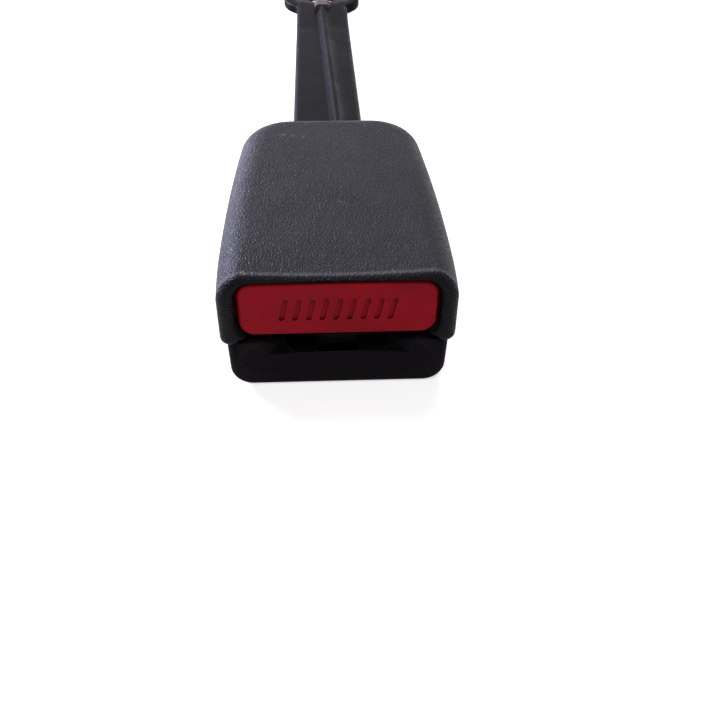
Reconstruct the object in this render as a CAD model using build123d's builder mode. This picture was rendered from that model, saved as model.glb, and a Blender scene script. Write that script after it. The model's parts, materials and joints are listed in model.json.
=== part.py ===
from build123d import *
import os
from math import atan, degrees, radians, sin, sqrt

os.makedirs("parts", exist_ok=True)

# A seat belt buckle on a flat sheathed stalk, in millimetres.
# The origin is the centre of the anchor hole on the eye's lower face, and the table is at Z = 0.
# The buckle's mouth lies at negative Y, where the belt tongue comes in.

# Whole buckle
stalk_reach = 246.0
cover_length = 73.4
cover_front_width = 47.5
cover_waist_width = 48.6
cover_waist_depth = 15.0
cover_rear_width = 42.6
cover_height = 28.4
cover_edge_radius = 6.6
cover_rim_radius = 2.2
rear_corner_radius = 12.5
thumb_dip = 1.0
thumb_dip_half_width = 23.0
thumb_dip_length = 36.0
parting_height = 11.7
parting_round = 1.6
upper_wall = 2.2
top_wall = 1.55
lower_inset = 1.3
lower_wall = 2.0
lower_floor = 2.2
lower_edge_radius = 4.6
lower_rim_radius = 1.2
lower_draft = 1.5
lip_height = 1.2
lip_wall = 0.9
flat_clearance = 0.1
moving_clearance = 0.4
rib_depths = [16.0, 34.0, 52.0]
rib_thickness = 1.6
cut_past = 1.0

# Release button
button_width = 40.2
button_height = 13.1
button_bottom = 13.5
button_recess = 1.0
button_depth = 14.0
button_corner = 3.3
button_edge = 0.7
button_wall = 1.8
button_panel = 2.4
button_gap = 0.35
button_travel = 6.0
button_flange = 1.1
button_flange_thickness = 1.5
button_arm_thickness = 2.8
button_arm_gap = 0.5
button_arm_height = 1.2
button_arm_brace = 1.5
button_ramp_length = 8.0
spring_peg_root = 0.5
spring_peg_length = 2.0

# Mouth and tongue passage
slot_width = 21.6
slot_height = 4.4
mouth_width = 33.2
mouth_slot_depth = 7.3
mouth_round = 1.5
mouth_block_depth = 9.5
mouth_notch_width = 8.5
mouth_notch_front = 4.4
mouth_notch_drop = 2.2
chin_top_width = 19.0
chin_top_depth = 3.8
chin_foot_width = 24.0
chin_foot_depth = 1.5
chin_foot_height = 1.2
chin_spread = 2.9
chin_round = 3.0
guide_steel = 1.1
guide_chamfer = 0.4

# Steel frame
frame_front = 10.0
frame_rear = 69.0
frame_tail_width = 18.0
frame_bottom = 4.0
frame_steel = 2.6
frame_wall_steel = 2.5
frame_inner_width = 23.4
frame_wall_front = 22.0
frame_wall_lean = 3.0
frame_wall_rear = 58.0
frame_wall_top = 20.0
frame_bend_radius = 3.0
frame_inner_bend = 0.4
ear_slot_front_play = 0.2
ear_slot_rear_play = 2.6
nose_window_side = 0.4
nose_window_front = 0.7
nose_window_rear = 1.3

# Latch
latch_front = 23.5
latch_nose_rear = 28.5
latch_nose_width = 9.6
latch_nose_drop = 0.6
latch_nose_lead = 2.6
latch_nose_shoulder = 1.5
latch_nose_root = 0.5
latch_plate_bottom = 12.0
latch_plate_steel = 2.2
latch_pin_depth = 50.0
latch_pin_height = 15.0
latch_pin_radius = 2.0
latch_rear = 51.5
latch_lug_front = 46.5
latch_lug_top = 17.6
latch_lift_angle = 10.0
latch_ear_front = 29.0
latch_ear_length = 3.0
latch_ear_reach = 16.9
running_clearance = 0.05
side_clearance = 0.3
clip_thickness = 0.8
clip_radius = 3.8
clip_mouth = 2.2
clip_groove = 0.4
pin_overhang = 0.8

# Ejector
ejector_front = 29.5
ejector_top = 11.4
ejector_travel = 9.0
ejector_stop_gap = 0.5
ejector_channel_front = 34.0
ejector_ramp = 1.2

# Springs
button_spring_radius = 1.6
button_spring_wire = 0.6
button_spring_turns = 8
button_spring_spacing = 15.0
button_spring_height = 21.3
latch_spring_radius = 2.7
latch_spring_wire = 0.5
latch_spring_turns = 5
latch_spring_depth = 36.0
ejector_spring_radius = 1.45
ejector_spring_wire = 0.45
ejector_spring_turns = 11
spring_seat_gap = 0.15
bridge_steel = 1.5
bridge_front = 26.5
bridge_rear = 44.0
bridge_flange_top = 24.6
bridge_flange_width = 22.0
bridge_side_depth = 38.5
bridge_side_length = 5.0
bridge_side_drop = 3.4

# Stalk
strap_width = 16.0
strap_steel = 2.8
strap_front = 54.0
sheath_open_run = 61.0
strap_bend_depth = 82.0
strap_level_run = 41.0
strap_bend_radius = 60.0
eye_radius = 14.6
anchor_hole_radius = 6.1
rivet_radius = 2.4
rivet_head_radius = 3.1
rivet_head_height = 1.3
rivet_head_taper = 20.0
rivet_pitch = 6.5
rivet_depth = 59.2
sheath_width = 20.8
sheath_height = 6.0
sheath_corner = 2.0
sheath_front = 70.5
sheath_eye_radius = 16.1
sheath_eye_height = 3.6
sheath_eye_edge = 1.4
sheath_eye_foot = 0.7
sheath_horn_setback = 8.0
sheath_neck_radius = 4.0
sheath_recess_radius = 13.0
ridge_front_offset = 3.7
ridge_rear_offset = 0.1
ridge_height = 3.2
ridge_left_foot = 2.3
ridge_right_foot = 6.3
ridge_crown = 0.9
ridge_foot_fall = 0.1

# Switch and its lead
switch_front = 38.0
switch_rear = 45.5
switch_width = 5.6
switch_bottom = 5.5
switch_top = 13.6
switch_corner = 0.8
switch_edge = 0.5
magnet_radius = 1.5
magnet_length = 3.0
magnet_depth = 38.0
lead_radius = 1.0
lead_exit_offset = 18.2
lead_turn_depth = 60.2
lead_turn_radius = 6.6
lead_rise = 4.1
lead_end_setback = 0.3
grommet_width = 6.2
grommet_height = 3.9
grommet_sink = 0.6
grommet_setback = 0.8
grommet_length = 9.6
grommet_edge = 1.6

# Cover screws
screw_offset = 12.2
screw_setback = 8.8
screw_boss_radius = 2.5
screw_radius = 1.1
screw_head_radius = 2.4
screw_head_height = 1.3
screw_sink = 0.3
screw_length = 9.0


def at(depth):
    """Y of a place that lies a depth behind the buckle's front face."""
    return depth - stalk_reach


# Levels and widths that follow from the sizes above
passage_floor = frame_bottom + frame_steel
passage_top = passage_floor + slot_height
frame_half = frame_inner_width / 2 + frame_wall_steel
button_top = button_bottom + button_height
cavity_top = cover_height - top_wall
strap_mid = passage_floor + strap_steel / 2
eye_mid = strap_steel / 2
ear_lift = (latch_pin_depth - latch_ear_front) * sin(radians(latch_lift_angle))
ramp_slope = ear_lift / button_travel
strap_level_depth = stalk_reach - strap_level_run
sheath_open_depth = stalk_reach - sheath_open_run
grommet_end_depth = stalk_reach - sheath_recess_radius - grommet_setback
ridge_end_depth = grommet_end_depth - grommet_length
lead_end_depth = grommet_end_depth - lead_end_setback
screw_depth = cover_length - screw_setback
ejector_length = strap_front - ejector_front - ejector_travel - ejector_stop_gap


def write(node, name):
    """Label one finished piece and write its file."""
    node.part.label = name
    export_step(node.part, f"parts/{name}.step")


def cover_outline(height, inset):
    """Plan outline of the covers at a height, drawn in by an inset all round."""
    with BuildSketch(Plane.XY.offset(height)) as outline:
        with BuildLine():
            waist = (cover_waist_width / 2, at(cover_waist_depth))
            front_side = TangentArc(waist, (cover_front_width / 2, at(0)), tangent=(0, -1))
            rear_side = TangentArc(waist, (cover_rear_width / 2, at(cover_length)), tangent=(0, 1))
            mirror(about=Plane.YZ)
            Line(front_side @ 1, (-(front_side @ 1).X, (front_side @ 1).Y))
            Line(rear_side @ 1, (-(rear_side @ 1).X, (rear_side @ 1).Y))
        make_face()
        fillet(outline.vertices().group_by(Axis.Y)[-1], rear_corner_radius)
        if inset:
            offset(amount=-inset, kind=Kind.INTERSECTION)
    return outline.sketch


def cover_form(bottom, top, inset, radius):
    """Closed form of the upper cover or of its cavity, with its upper edges rounded."""
    with BuildPart() as form:
        add(cover_outline(bottom, inset))
        extrude(amount=top - bottom)
        front = form.faces().sort_by(Axis.Y)[0]
        upper_edges = form.faces().sort_by(Axis.Z)[-1].edges() - front.edges()
        fillet(upper_edges, radius)
    return form.part


def tray_form(bottom, top, inset, radius):
    """Closed form of the lower cover or of its cavity, with its lower edges rounded."""
    with BuildPart() as form:
        add(cover_outline(top, inset))
        extrude(amount=bottom - top, taper=lower_draft)
        front = form.faces().sort_by(Axis.Y)[0]
        lower_edges = form.faces().sort_by(Axis.Z)[0].edges() - front.edges()
        fillet(lower_edges, radius)
    return form.part


def coil(start, direction, radius, wire, turns, length):
    """Compression spring that starts at a place and runs along a direction."""
    with BuildPart() as spring:
        with BuildLine():
            path = Helix(
                pitch=length / turns,
                height=length,
                radius=radius,
                center=start,
                direction=direction,
            )
        with BuildSketch(Plane(origin=path @ 0, z_dir=path % 0)):
                RegularPolygon(wire / 2, 5)
        sweep(path=path, is_frenet=True)
    return spring.part


def ridge_offset(depth):
    """X of the ridge's crown at a depth, as it runs slightly across the strap."""
    share = (depth - sheath_front) / (ridge_end_depth - sheath_front)
    return ridge_front_offset + share * (ridge_rear_offset - ridge_front_offset)


def stalk_line(start, end, rise, offset_at):
    """Corner points and bend radii of a line along the stalk, a rise above the strap's middle."""
    levels = [
        (start, strap_mid),
        (strap_bend_depth, strap_mid),
        (strap_level_depth, eye_mid),
        (end, eye_mid),
    ]
    points = [(offset_at(depth), at(depth), height + rise) for depth, height in levels]
    return points, [strap_bend_radius + rise, strap_bend_radius - rise]


def along_axis(depth):
    """X of a line that stays on the buckle's axis."""
    return 0.0


def sheath_section(plane, grow):
    """Flat oval section of the sheath about the strap's middle, larger all round by an amount."""
    with BuildSketch(plane) as section:
        RectangleRounded(sheath_width + 2 * grow, sheath_height + 2 * grow, sheath_corner + grow)
    return section.sketch


def ridge_section(plane, grow):
    """Section of the ridge: a crisp left foot, a round crown and a long fall to the right."""
    foot = sheath_height / 2 + grow
    crown = foot + ridge_height
    with BuildSketch(plane) as section:
        with BuildLine():
            left = Line((-ridge_left_foot - grow, foot), (-ridge_crown - grow, crown - ridge_crown / 2))
            top = TangentArc(left @ 1, (ridge_crown + grow, crown - ridge_crown / 2), tangent=left % 1)
            Spline(top @ 1, (ridge_right_foot + grow, foot), tangents=[top % 1, (1, -ridge_foot_fall)])
            Polyline(
                (ridge_right_foot + grow, foot),
                (ridge_right_foot + grow, 0),
                (-ridge_left_foot - grow, 0),
                left @ 0,
            )
        make_face()
    return section.sketch


front_plane = Plane(origin=(0, at(0), 0), x_dir=(1, 0, 0), z_dir=(0, -1, 0))
side_plane = Plane(origin=(0, at(0), 0), x_dir=(0, 1, 0), z_dir=(1, 0, 0))


def facing(depth, height=0.0, offset=0.0):
    """Upright plane across the buckle at a depth, seen from the front."""
    return Plane(origin=(offset, at(depth), height), x_dir=(1, 0, 0), z_dir=(0, -1, 0))


# Tunnel through both covers for the stalk
tunnel_start = cover_length - upper_wall - lower_inset - cut_past
tunnel_length = cover_length + cut_past - tunnel_start
with BuildPart() as sheath_tunnel:
    extrude(sheath_section(facing(tunnel_start, strap_mid), flat_clearance), amount=-tunnel_length)

with BuildPart() as ridge_tunnel:
    ridge_place = facing(tunnel_start, strap_mid, ridge_front_offset)
    extrude(ridge_section(ridge_place, 2 * flat_clearance), amount=-tunnel_length)

# Upper cover: a grained shell with a thumb dip over the button
upper_outer = cover_form(parting_height, cover_height, 0, cover_edge_radius)
upper_cavity = cover_form(parting_height, cavity_top, upper_wall, cover_edge_radius - upper_wall)
dip_radius = (thumb_dip_half_width**2 + thumb_dip**2) / (2 * thumb_dip)
dip_tilt = degrees(atan(thumb_dip / thumb_dip_length))
opening_width = button_width + 2 * button_gap
opening_bottom = button_bottom - button_gap
opening_corner = button_corner + button_gap
screw_places = [(-screw_offset, at(screw_depth)), (screw_offset, at(screw_depth))]
boss_foot = lower_floor + flat_clearance

with BuildPart() as upper_cover:
    add(upper_outer)
    with Locations(Location((0, at(0), cover_height - thumb_dip), (dip_tilt, 0, 0))):
        with Locations((0, 0, dip_radius)):
            Cylinder(dip_radius, 2 * cover_length, rotation=(90, 0, 0), mode=Mode.SUBTRACT)
    front_edges = upper_cover.faces().sort_by(Axis.Y)[0].edges()
    fillet(front_edges - front_edges.group_by(Axis.Z)[0], cover_rim_radius)
    fillet(upper_cover.faces().sort_by(Axis.Z)[0].edges(), parting_round)
    add(upper_cavity, mode=Mode.SUBTRACT)
    with BuildSketch(front_plane):
        with Locations((0, (cavity_top + opening_bottom) / 2)):
            RectangleRounded(opening_width, cavity_top - opening_bottom, opening_corner)
        with Locations((0, parting_height - cut_past)):
            Rectangle(
                opening_width - 2 * opening_corner,
                opening_corner + cut_past,
                align=(Align.CENTER, Align.MIN),
            )
    extrude(amount=-upper_wall - flat_clearance, mode=Mode.SUBTRACT)
    with BuildSketch(Plane.XY.offset(boss_foot)):
        with Locations(screw_places):
            Circle(screw_boss_radius)
    extrude(amount=cavity_top + flat_clearance - boss_foot)
    with BuildSketch(Plane.XY.offset(boss_foot)):
        with Locations(screw_places):
            Circle(screw_radius + running_clearance)
    extrude(amount=screw_length, mode=Mode.SUBTRACT)
    add(sheath_tunnel.part, mode=Mode.SUBTRACT)
    add(ridge_tunnel.part, mode=Mode.SUBTRACT)

write(upper_cover, "upper_cover")

# Lower cover: a tray with the scooped mouth in its front block
lower_outer = tray_form(0, parting_height, lower_inset, lower_edge_radius)
tray_inset = lower_inset + lower_wall
lower_cavity = tray_form(lower_floor, parting_height, tray_inset, lower_edge_radius - lower_wall)
lip_inset = upper_wall + flat_clearance


def chin_section(height, width, depth):
    """Plan of the scoop below the mouth at a height, wider towards the front."""
    front_half = width / 2 + chin_spread * (depth + cut_past)
    with BuildSketch(Plane.XY.offset(height)) as section:
        with BuildLine():
            Polyline(
                (-front_half, at(-cut_past)),
                (-width / 2, at(depth)),
                (width / 2, at(depth)),
                (front_half, at(-cut_past)),
                close=True,
            )
        make_face()
        fillet(section.vertices().group_by(Axis.Y)[-1], chin_round)
    return section.sketch


mouth_front = lower_inset - running_clearance
with BuildPart() as mouth_cut:
    with BuildSketch(Plane.XY.offset(passage_floor)) as mouth_plan:
        with BuildLine():
            flank = Polyline(
                (0, at(-cut_past)),
                (cover_front_width / 2, at(-cut_past)),
                (cover_front_width / 2, at(mouth_front)),
                (mouth_width / 2, at(mouth_front)),
                (slot_width / 2, at(mouth_slot_depth)),
                (slot_width / 2, at(mouth_block_depth + cut_past)),
                (0, at(mouth_block_depth + cut_past)),
            )
            mirror(about=Plane.YZ)
        make_face()
        turns = mouth_plan.vertices().filter_by_position(Axis.Y, at(mouth_front / 2), at(mouth_block_depth))
        fillet([v for v in turns if abs(v.X) < cover_front_width / 2 - cut_past], mouth_round)
    extrude(amount=parting_height + cut_past - passage_floor)
    loft(
        sections=[
            chin_section(chin_foot_height, chin_foot_width, chin_foot_depth),
            chin_section(passage_floor, chin_top_width, chin_top_depth),
        ],
        ruled=True,
    )
    with BuildSketch(facing(mouth_notch_front)):
        with Locations((0, passage_floor - mouth_notch_drop)):
            Rectangle(mouth_notch_width, slot_height, align=(Align.CENTER, Align.MIN))
    extrude(amount=mouth_notch_front - mouth_block_depth - cut_past)

with BuildPart() as lower_hollow:
    add(lower_cavity)
    with Locations((0, at(0), 0)):
        Box(cover_waist_width, 2 * mouth_block_depth, 2 * cover_height, mode=Mode.SUBTRACT)

with BuildPart() as lower_lip:
    add(cover_outline(parting_height, lip_inset))
    extrude(amount=lip_height)
    add(cover_outline(parting_height, lip_inset + lip_wall))
    extrude(amount=lip_height, mode=Mode.SUBTRACT)
    with Locations((0, at(0), parting_height)):
        Box(cover_waist_width, 2 * mouth_block_depth, 2 * cover_height, mode=Mode.SUBTRACT)

with BuildPart() as lower_cover:
    add(lower_outer)
    front_edges = lower_cover.faces().sort_by(Axis.Y)[0].edges()
    fillet(front_edges - front_edges.group_by(Axis.Z)[-1], lower_rim_radius)
    add(lower_hollow.part, mode=Mode.SUBTRACT)
    add(lower_lip.part)
    add(mouth_cut.part, mode=Mode.SUBTRACT)
    with BuildSketch(Plane.XY.offset(lower_floor)):
        with Locations([(0, at(depth)) for depth in rib_depths]):
            Rectangle(2 * frame_half, rib_thickness)
    extrude(amount=frame_bottom - lower_floor)
    with BuildSketch(Plane.XY):
        with Locations(screw_places):
            Circle(screw_head_radius + side_clearance)
    extrude(amount=screw_sink + screw_head_height, mode=Mode.SUBTRACT)
    with BuildSketch(Plane.XY):
        with Locations(screw_places):
            Circle(screw_radius + side_clearance)
    extrude(amount=lower_floor, mode=Mode.SUBTRACT)
    add(sheath_tunnel.part, mode=Mode.SUBTRACT)
    add(ridge_tunnel.part, mode=Mode.SUBTRACT)

write(lower_cover, "lower_cover")

# Release button: a hollow press button with two ramped arms that lift the latch's ears
button_rear = button_recess + button_depth
panel_rear = button_recess + button_panel
arm_inner = frame_half + button_arm_gap
arm_top = latch_plate_bottom - side_clearance + ramp_slope * button_travel
ramp_front = latch_ear_front - button_travel
arm_foot = latch_plate_bottom - side_clearance - ramp_slope * (button_ramp_length - button_travel)
arm_bottom = arm_foot - button_arm_height
arm_root = button_bottom + button_wall / 2
button_middle = (button_bottom + button_top) / 2

with BuildPart() as release_button:
    with BuildSketch(facing(button_recess)):
        with Locations((0, button_middle)):
            RectangleRounded(button_width, button_height, button_corner)
    extrude(amount=-button_depth)
    fillet(release_button.faces().sort_by(Axis.Y)[0].edges(), button_edge)
    with BuildSketch(facing(panel_rear)):
        with Locations((0, button_middle)):
            RectangleRounded(
                button_width - 2 * button_wall,
                button_height - 2 * button_wall,
                button_corner - button_wall,
            )
    extrude(amount=-button_depth, mode=Mode.SUBTRACT)
    with BuildSketch(facing(upper_wall + moving_clearance)):
        with Locations((0, button_middle)):
            Rectangle(button_width + 2 * button_flange, button_height / 2)
            Rectangle(button_width - button_wall, button_height, mode=Mode.SUBTRACT)
    extrude(amount=-button_flange_thickness)
    with BuildSketch(side_plane.offset(arm_inner)):
        with BuildLine():
            Polyline(
                (panel_rear - cut_past, arm_root),
                (panel_rear - cut_past, arm_top),
                (ramp_front, arm_top),
                (ramp_front + button_ramp_length, arm_foot),
                (ramp_front + button_ramp_length, arm_bottom),
                (button_rear + button_arm_brace, arm_bottom),
                (button_rear - cut_past, arm_root),
                close=True,
            )
        make_face()
    extrude(amount=button_arm_thickness)
    mirror(about=Plane.YZ)
    with BuildSketch(facing(panel_rear - spring_peg_root)):
        with Locations([(side * button_spring_spacing / 2, button_spring_height) for side in (-1, 1)]):
            Circle(button_spring_radius - button_spring_wire / 2 - side_clearance)
    extrude(amount=-spring_peg_root - spring_peg_length)

write(release_button, "release_button")

# Frame: a bent steel channel with the tongue passage between its walls
wall_middle = (frame_bottom + frame_wall_top) / 2
ear_slot_front = latch_ear_front - ear_slot_front_play
ear_slot_rear = latch_ear_front + latch_ear_length + ear_slot_rear_play
window_front = latch_front - nose_window_front
window_rear = latch_nose_rear + nose_window_rear
rivet_places = [(0, at(rivet_depth)), (0, at(rivet_depth + rivet_pitch))]
with BuildPart() as frame:
    with BuildSketch(facing(frame_front)):
        with Locations((0, wall_middle)):
            outer = Rectangle(2 * frame_half, frame_wall_top - frame_bottom)
        fillet(outer.vertices().group_by(Axis.Z)[0], frame_bend_radius)
        with Locations((0, wall_middle + frame_steel)):
            Rectangle(frame_inner_width, frame_wall_top - frame_bottom, mode=Mode.SUBTRACT)
    extrude(amount=frame_front - frame_rear)
    with BuildSketch(side_plane.offset(-frame_half - cut_past)):
        with BuildLine():
            Polyline(
                (frame_front - cut_past, passage_top),
                (frame_wall_front, passage_top),
                (frame_wall_front + frame_wall_lean, frame_wall_top + cut_past),
                (frame_front - cut_past, frame_wall_top + cut_past),
                close=True,
            )
        make_face()
        with BuildLine():
            Polyline(
                (frame_wall_rear - frame_wall_lean, frame_wall_top + cut_past),
                (frame_wall_rear, latch_pin_height),
                (frame_wall_rear, passage_floor),
                (frame_rear + cut_past, passage_floor),
                (frame_rear + cut_past, frame_wall_top + cut_past),
                close=True,
            )
        make_face()
        with Locations(((ear_slot_front + ear_slot_rear) / 2, frame_wall_top)):
            Rectangle(
                ear_slot_rear - ear_slot_front,
                2 * (frame_wall_top - latch_plate_bottom + moving_clearance),
            )
    extrude(amount=2 * (frame_half + cut_past), mode=Mode.SUBTRACT)
    with BuildSketch(side_plane.offset(-frame_half - cut_past)):
        with Locations((latch_pin_depth, latch_pin_height)):
            Circle(latch_pin_radius + running_clearance)
    extrude(amount=2 * (frame_half + cut_past), mode=Mode.SUBTRACT)
    tail_side = (frame_half - frame_tail_width / 2) * 2
    with BuildSketch(Plane.XY):
        with Locations([(side * frame_half, at(frame_rear)) for side in (-1, 1)]):
            Rectangle(tail_side, 2 * (frame_rear - frame_wall_rear))
        with Locations((0, at((window_front + window_rear) / 2))):
            Rectangle(latch_nose_width + 2 * nose_window_side, window_rear - window_front)
        with Locations(rivet_places):
            Circle(rivet_radius + running_clearance)
    extrude(amount=passage_floor + running_clearance, mode=Mode.SUBTRACT)

write(frame, "frame")

# Latch plate: a bent plate whose nose drops through the tongue's window
latch_half = frame_inner_width / 2 - side_clearance
latch_plate_top = latch_plate_bottom + latch_plate_steel
nose_foot = passage_floor - latch_nose_drop
with BuildPart() as latch_plate:
    with BuildSketch(side_plane.offset(-latch_half)):
        with Locations(((latch_front + latch_rear) / 2, (latch_plate_bottom + latch_plate_top) / 2)):
            Rectangle(latch_rear - latch_front, latch_plate_steel)
    extrude(amount=2 * latch_half)
    with BuildSketch(side_plane.offset(-latch_nose_width / 2)):
        with BuildLine():
            Polyline(
                (latch_front, latch_plate_bottom + latch_nose_root),
                (latch_front, latch_plate_bottom - latch_nose_shoulder),
                (latch_front + latch_nose_lead, nose_foot),
                (latch_nose_rear, nose_foot),
                (latch_nose_rear, latch_plate_bottom + latch_nose_root),
                close=True,
            )
        make_face()
    extrude(amount=latch_nose_width)
    with BuildSketch(Plane.XY.offset(latch_plate_bottom)):
        with Locations((0, at(latch_ear_front + latch_ear_length / 2))):
            Rectangle(2 * latch_ear_reach, latch_ear_length)
    extrude(amount=latch_plate_steel)
    with BuildSketch(side_plane.offset(latch_half - latch_plate_steel)):
        with Locations(((latch_lug_front + latch_rear) / 2, (latch_plate_bottom + latch_lug_top) / 2)):
            Rectangle(latch_rear - latch_lug_front, latch_lug_top - latch_plate_bottom)
    extrude(amount=latch_plate_steel)
    mirror(about=Plane.YZ)
    with BuildSketch(side_plane.offset(-latch_half - cut_past)):
        with Locations((latch_pin_depth, latch_pin_height)):
            Circle(latch_pin_radius + running_clearance)
    extrude(amount=2 * (latch_half + cut_past), mode=Mode.SUBTRACT)

write(latch_plate, "latch_plate")

# Pin the latch turns on, grooved at both ends for its clips
clip_face = frame_half + running_clearance
pin_half = clip_face + clip_thickness + running_clearance + pin_overhang
with BuildPart() as latch_pin:
    with BuildSketch(side_plane.offset(-pin_half)):
        with Locations((latch_pin_depth, latch_pin_height)):
            Circle(latch_pin_radius)
    extrude(amount=2 * pin_half)
    with BuildSketch(side_plane.offset(clip_face)):
        with Locations((latch_pin_depth, latch_pin_height)):
            Circle(clip_radius)
            Circle(latch_pin_radius - clip_groove, mode=Mode.SUBTRACT)
    extrude(amount=clip_thickness + running_clearance, mode=Mode.SUBTRACT)
    with BuildSketch(side_plane.offset(-clip_face)):
        with Locations((latch_pin_depth, latch_pin_height)):
            Circle(clip_radius)
            Circle(latch_pin_radius - clip_groove, mode=Mode.SUBTRACT)
    extrude(amount=-clip_thickness - running_clearance, mode=Mode.SUBTRACT)

write(latch_pin, "latch_pin")

with BuildPart() as pin_clips:
    with BuildSketch(side_plane.offset(clip_face)):
        with Locations((latch_pin_depth, latch_pin_height)):
            Circle(clip_radius)
            Circle(latch_pin_radius - clip_groove + running_clearance, mode=Mode.SUBTRACT)
        with Locations((latch_pin_depth, latch_pin_height + clip_radius)):
            Rectangle(clip_mouth, 2 * clip_radius, mode=Mode.SUBTRACT)
    extrude(amount=clip_thickness)
    mirror(about=Plane.YZ)

write(pin_clips, "pin_clips")

# Spring bridge: a bent plate across the walls that backs the springs
with BuildPart() as spring_bridge:
    with BuildSketch(Plane.XY.offset(frame_wall_top)):
        with Locations((0, at((bridge_front + bridge_rear) / 2))):
            Rectangle(2 * frame_half, bridge_rear - bridge_front)
        with Locations((0, at(bridge_side_depth + bridge_side_length / 2))):
            Rectangle(2 * (clip_face + bridge_steel), bridge_side_length)
    extrude(amount=bridge_steel)
    with BuildSketch(facing(bridge_front)):
        with Locations((0, frame_wall_top)):
            Rectangle(
                bridge_flange_width,
                bridge_flange_top - frame_wall_top,
                align=(Align.CENTER, Align.MIN),
            )
    extrude(amount=-bridge_steel)
    with BuildSketch(side_plane.offset(clip_face)):
        with Locations((bridge_side_depth + bridge_side_length / 2, frame_wall_top + bridge_steel)):
            Rectangle(bridge_side_length, bridge_side_drop + bridge_steel, align=(Align.CENTER, Align.MAX))
    extrude(amount=bridge_steel)
    mirror(about=Plane.YZ)

write(spring_bridge, "spring_bridge")

# Ejector: a slider between the walls with a channel for its spring
ejector_half = frame_inner_width / 2 - 2 * flat_clearance
ejector_floor = passage_floor + running_clearance
channel_half = ejector_spring_radius + ejector_spring_wire
ejector_spring_height = passage_floor + channel_half
with BuildPart() as ejector:
    with BuildSketch(facing(ejector_front)):
        with Locations((0, (ejector_floor + ejector_top) / 2)):
            block = Rectangle(2 * ejector_half, ejector_top - ejector_floor)
        chamfer(block.vertices().group_by(Axis.Z)[0], 2 * frame_inner_bend)
    extrude(amount=-ejector_length)
    chamfer(ejector.faces().sort_by(Axis.Y)[0].edges().sort_by(Axis.Z)[-1], ejector_ramp)
    with BuildSketch(Plane.XY.offset(ejector_floor)):
        with Locations((0, at(ejector_channel_front))):
            Rectangle(2 * channel_half, ejector_length, align=(Align.CENTER, Align.MIN))
    extrude(amount=2 * channel_half, mode=Mode.SUBTRACT)
    with BuildSketch(side_plane.offset(ejector_half - magnet_length)):
        with Locations((magnet_depth, (ejector_floor + ejector_top) / 2)):
            Circle(magnet_radius + running_clearance)
    extrude(amount=magnet_length + cut_past, mode=Mode.SUBTRACT)

write(ejector, "ejector")

with BuildPart() as switch_magnet:
    with BuildSketch(side_plane.offset(ejector_half - magnet_length)):
        with Locations((magnet_depth, (ejector_floor + ejector_top) / 2)):
            Circle(magnet_radius)
    extrude(amount=magnet_length - flat_clearance)

write(switch_magnet, "switch_magnet")

# Springs
latch_spring_start = latch_plate_top + latch_spring_wire / 2 + spring_seat_gap
latch_spring_length = frame_wall_top - latch_spring_wire / 2 - spring_seat_gap - latch_spring_start
with BuildPart() as latch_spring:
    add(
        coil(
            (0, at(latch_spring_depth), latch_spring_start),
            (0, 0, 1),
            latch_spring_radius,
            latch_spring_wire,
            latch_spring_turns,
            latch_spring_length,
        )
    )

write(latch_spring, "latch_spring")

ejector_spring_start = ejector_channel_front + ejector_spring_wire / 2 + spring_seat_gap
ejector_spring_length = strap_front - ejector_spring_wire / 2 - spring_seat_gap - ejector_spring_start
with BuildPart() as ejector_spring:
    add(
        coil(
            (0, at(ejector_spring_start), ejector_spring_height),
            (0, 1, 0),
            ejector_spring_radius,
            ejector_spring_wire,
            ejector_spring_turns,
            ejector_spring_length,
        )
    )

write(ejector_spring, "ejector_spring")

button_spring_start = panel_rear + button_spring_wire / 2 + spring_seat_gap
button_spring_length = bridge_front - button_spring_wire / 2 - spring_seat_gap - button_spring_start
for side, name in ((-1, "button_spring_left"), (1, "button_spring_right")):
    with BuildPart() as button_spring:
        add(
            coil(
                (side * button_spring_spacing / 2, at(button_spring_start), button_spring_height),
                (0, 1, 0),
                button_spring_radius,
                button_spring_wire,
                button_spring_turns,
                button_spring_length,
            )
        )
    write(button_spring, name)

# Tongue guide: a plate over the front of the passage, split for the latch's nose
guide_front = mouth_block_depth + 2 * flat_clearance
guide_rear = frame_wall_front - moving_clearance
with BuildPart() as tongue_guide:
    with BuildSketch(Plane.XY.offset(passage_top)):
        with Locations((0, at((guide_front + guide_rear) / 2))):
            Rectangle(2 * frame_half, guide_rear - guide_front)
        with Locations((0, at(guide_rear))):
            Rectangle(mouth_notch_width, 2 * mouth_slot_depth, mode=Mode.SUBTRACT)
    extrude(amount=guide_steel)
    chamfer(tongue_guide.faces().sort_by(Axis.Y)[0].edges().sort_by(Axis.Z)[0], guide_chamfer)

write(tongue_guide, "tongue_guide")

# Anchor strap: flat steel from the frame's tail to the bolt eye
strap_points, strap_radii = stalk_line(strap_front, stalk_reach, 0, along_axis)


def swept_strap(grow):
    """Strap's flat steel along the stalk, larger all round by an amount."""
    with BuildPart() as steel:
        with BuildLine():
            FilletPolyline(*strap_points, radius=strap_radii)
        with BuildSketch(facing(strap_front, strap_mid)):
            Rectangle(strap_width + 2 * grow, strap_steel + 2 * grow)
        sweep()
    return steel.part


strap_steel_form = swept_strap(0)
strap_channel = swept_strap(running_clearance)
with BuildPart() as anchor_strap:
    add(strap_steel_form)
    with BuildSketch(Plane.XY):
        Circle(eye_radius)
    extrude(amount=strap_steel)
    with BuildSketch(Plane.XY):
        Circle(anchor_hole_radius)
    extrude(amount=strap_steel, mode=Mode.SUBTRACT)
    with BuildSketch(Plane.XY.offset(passage_floor)):
        with Locations(rivet_places):
            Circle(rivet_radius + running_clearance)
    extrude(amount=strap_steel, mode=Mode.SUBTRACT)

write(anchor_strap, "anchor_strap")

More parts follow.
